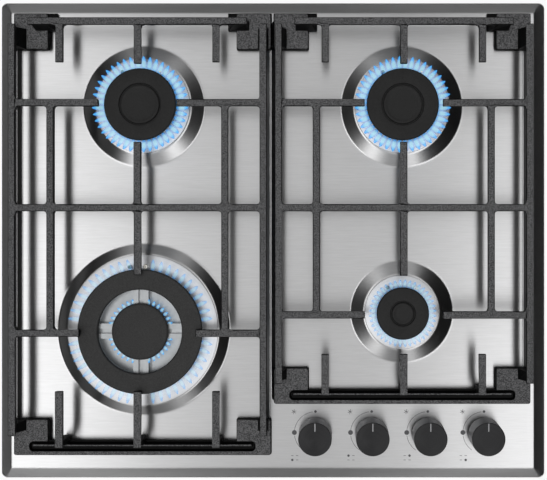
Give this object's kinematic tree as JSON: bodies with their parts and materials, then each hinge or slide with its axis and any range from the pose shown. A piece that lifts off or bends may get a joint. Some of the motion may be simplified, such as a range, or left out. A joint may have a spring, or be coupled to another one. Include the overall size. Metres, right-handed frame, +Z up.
{
  "type": "gas cooktop",
  "caption": "Built-in gas cooktop: pressed steel plate with shallow wells, cast grates on low feet, ported burners with caps, and a row of push-and-turn knobs at the front right.",
  "frame": {"origin": "centre of the bounding box at its bottom: under the middle of the top plate, on the base pan's underside", "axes": "+Z up; +X to the right as seen from the front; -Y towards the front, where the knobs are"},
  "size_m": [0.58, 0.507, 0.085],
  "materials": {
    "stainless_steel": "brushed along X",
    "galvanised_steel": "zinc-coated sheet, dull",
    "seal_rubber": "closed-cell foam rubber",
    "burner_aluminium": "die-cast, fine satin",
    "electrode_ceramic": "white glazed ceramic",
    "thermocouple_metal": "heat-tinted copper alloy",
    "knob_metal": "anthracite anodised, spun top",
    "brass": "turned, plain",
    "tap_aluminium": "plain, dull",
    "cap_enamel": "matt black vitreous enamel",
    "grate_enamel": "matt dark grey vitreous enamel with fine grain",
    "foot_rubber": "matt heat-resistant rubber",
    "black_plastic": "moulded, fine texture"
  },
  "bodies": {
    "base": {"top_plate": "stainless_steel", "base_pan": "galvanised_steel", "worktop_seal": "seal_rubber", "clamp_left": "galvanised_steel", "clamp_right": "galvanised_steel", "burner_cup_front_left": "burner_aluminium", "spark_electrode_front_left": "electrode_ceramic", "thermocouple_front_left": "thermocouple_metal", "tap_body_front_left": "tap_aluminium", "gas_tube_front_left": "tap_aluminium", "burner_cup_rear_left": "burner_aluminium", "spark_electrode_rear_left": "electrode_ceramic", "thermocouple_rear_left": "thermocouple_metal", "tap_body_rear_left": "tap_aluminium", "gas_tube_rear_left": "tap_aluminium", "burner_cup_rear_right": "burner_aluminium", "spark_electrode_rear_right": "electrode_ceramic", "thermocouple_rear_right": "thermocouple_metal", "tap_body_rear_right": "tap_aluminium", "gas_tube_rear_right": "tap_aluminium", "burner_cup_front_right": "burner_aluminium", "spark_electrode_front_right": "electrode_ceramic", "thermocouple_front_right": "thermocouple_metal", "tap_body_front_right": "tap_aluminium", "gas_tube_front_right": "tap_aluminium", "gas_manifold": "galvanised_steel", "inlet_elbow": "brass", "ignition_module": "black_plastic", "cable_gland": "black_plastic"},
    "spreader_front_left": {"flame_spreader_front_left": "burner_aluminium"},
    "spreader_rear_left": {"flame_spreader_rear_left": "burner_aluminium"},
    "spreader_rear_right": {"flame_spreader_rear_right": "burner_aluminium"},
    "spreader_front_right": {"flame_spreader_front_right": "burner_aluminium"},
    "cap_rear_left": {"cap_rear_left": "cap_enamel"},
    "cap_rear_right": {"cap_rear_right": "cap_enamel"},
    "cap_front_right": {"cap_front_right": "cap_enamel"},
    "ring_cap": {"ring_cap_front_left": "cap_enamel"},
    "centre_cap": {"centre_cap_front_left": "cap_enamel"},
    "grate_left": {"grate_left": "grate_enamel", "rubber_foot_left_rear_left": "foot_rubber", "rubber_foot_left_rear_right": "foot_rubber", "rubber_foot_left_front_left": "foot_rubber", "rubber_foot_left_front_right": "foot_rubber"},
    "grate_right": {"grate_right": "grate_enamel", "rubber_foot_right_rear_left": "foot_rubber", "rubber_foot_right_rear_right": "foot_rubber", "rubber_foot_right_front_left": "foot_rubber", "rubber_foot_right_front_right": "foot_rubber"},
    "tap_front_left": {"tap_plug_front_left": "brass"},
    "knob_front_left": {"knob_front_left": "knob_metal", "tap_stem_front_left": "brass"},
    "tap_rear_left": {"tap_plug_rear_left": "brass"},
    "knob_rear_left": {"knob_rear_left": "knob_metal", "tap_stem_rear_left": "brass"},
    "tap_rear_right": {"tap_plug_rear_right": "brass"},
    "knob_rear_right": {"knob_rear_right": "knob_metal", "tap_stem_rear_right": "brass"},
    "tap_front_right": {"tap_plug_front_right": "brass"},
    "knob_front_right": {"knob_front_right": "knob_metal", "tap_stem_front_right": "brass"}
  },
  "joints": [
    {"name": "spreader_lift_front_left", "type": "slide", "parent": "base", "child": "spreader_front_left", "axis": [0, 0, 1], "range_m": [0, 0.002]},
    {"name": "spreader_lift_rear_left", "type": "slide", "parent": "base", "child": "spreader_rear_left", "axis": [0, 0, 1], "range_m": [0, 0.04]},
    {"name": "spreader_lift_rear_right", "type": "slide", "parent": "base", "child": "spreader_rear_right", "axis": [0, 0, 1], "range_m": [0, 0.04]},
    {"name": "spreader_lift_front_right", "type": "slide", "parent": "base", "child": "spreader_front_right", "axis": [0, 0, 1], "range_m": [0, 0.04]},
    {"name": "cap_lift_rear_left", "type": "slide", "parent": "spreader_rear_left", "child": "cap_rear_left", "axis": [0, 0, 1], "range_m": [0, 0.04]},
    {"name": "cap_lift_rear_right", "type": "slide", "parent": "spreader_rear_right", "child": "cap_rear_right", "axis": [0, 0, 1], "range_m": [0, 0.04]},
    {"name": "cap_lift_front_right", "type": "slide", "parent": "spreader_front_right", "child": "cap_front_right", "axis": [0, 0, 1], "range_m": [0, 0.04]},
    {"name": "ring_cap_lift", "type": "slide", "parent": "spreader_front_left", "child": "ring_cap", "axis": [0, 0, 1], "range_m": [0, 0.002]},
    {"name": "centre_cap_lift", "type": "slide", "parent": "spreader_front_left", "child": "centre_cap", "axis": [0, 0, 1], "range_m": [0, 0.04]},
    {"name": "grate_lift_left", "type": "slide", "parent": "base", "child": "grate_left", "axis": [0, 0, 1], "range_m": [0, 0.08]},
    {"name": "grate_lift_right", "type": "slide", "parent": "base", "child": "grate_right", "axis": [0, 0, 1], "range_m": [0, 0.08]},
    {"name": "tap_turn_front_left", "type": "hinge", "parent": "base", "child": "tap_front_left", "pos_m": [0.0455, -0.204, 0.03], "axis": [0, 0, 1], "range_deg": [0, 180]},
    {"name": "knob_push_front_left", "type": "slide", "parent": "tap_front_left", "child": "knob_front_left", "axis": [0, 0, -1], "range_m": [0, 0.0035], "stiffness_N_per_m": 2000, "springref_m": -0.0015},
    {"name": "tap_turn_rear_left", "type": "hinge", "parent": "base", "child": "tap_rear_left", "pos_m": [0.1051, -0.204, 0.03], "axis": [0, 0, 1], "range_deg": [0, 180]},
    {"name": "knob_push_rear_left", "type": "slide", "parent": "tap_rear_left", "child": "knob_rear_left", "axis": [0, 0, -1], "range_m": [0, 0.0035], "stiffness_N_per_m": 2000, "springref_m": -0.0015},
    {"name": "tap_turn_rear_right", "type": "hinge", "parent": "base", "child": "tap_rear_right", "pos_m": [0.1647, -0.204, 0.03], "axis": [0, 0, 1], "range_deg": [0, 180]},
    {"name": "knob_push_rear_right", "type": "slide", "parent": "tap_rear_right", "child": "knob_rear_right", "axis": [0, 0, -1], "range_m": [0, 0.0035], "stiffness_N_per_m": 2000, "springref_m": -0.0015},
    {"name": "tap_turn_front_right", "type": "hinge", "parent": "base", "child": "tap_front_right", "pos_m": [0.2243, -0.204, 0.03], "axis": [0, 0, 1], "range_deg": [0, 180]},
    {"name": "knob_push_front_right", "type": "slide", "parent": "tap_front_right", "child": "knob_front_right", "axis": [0, 0, -1], "range_m": [0, 0.0035], "stiffness_N_per_m": 2000, "springref_m": -0.0015}
  ]
}
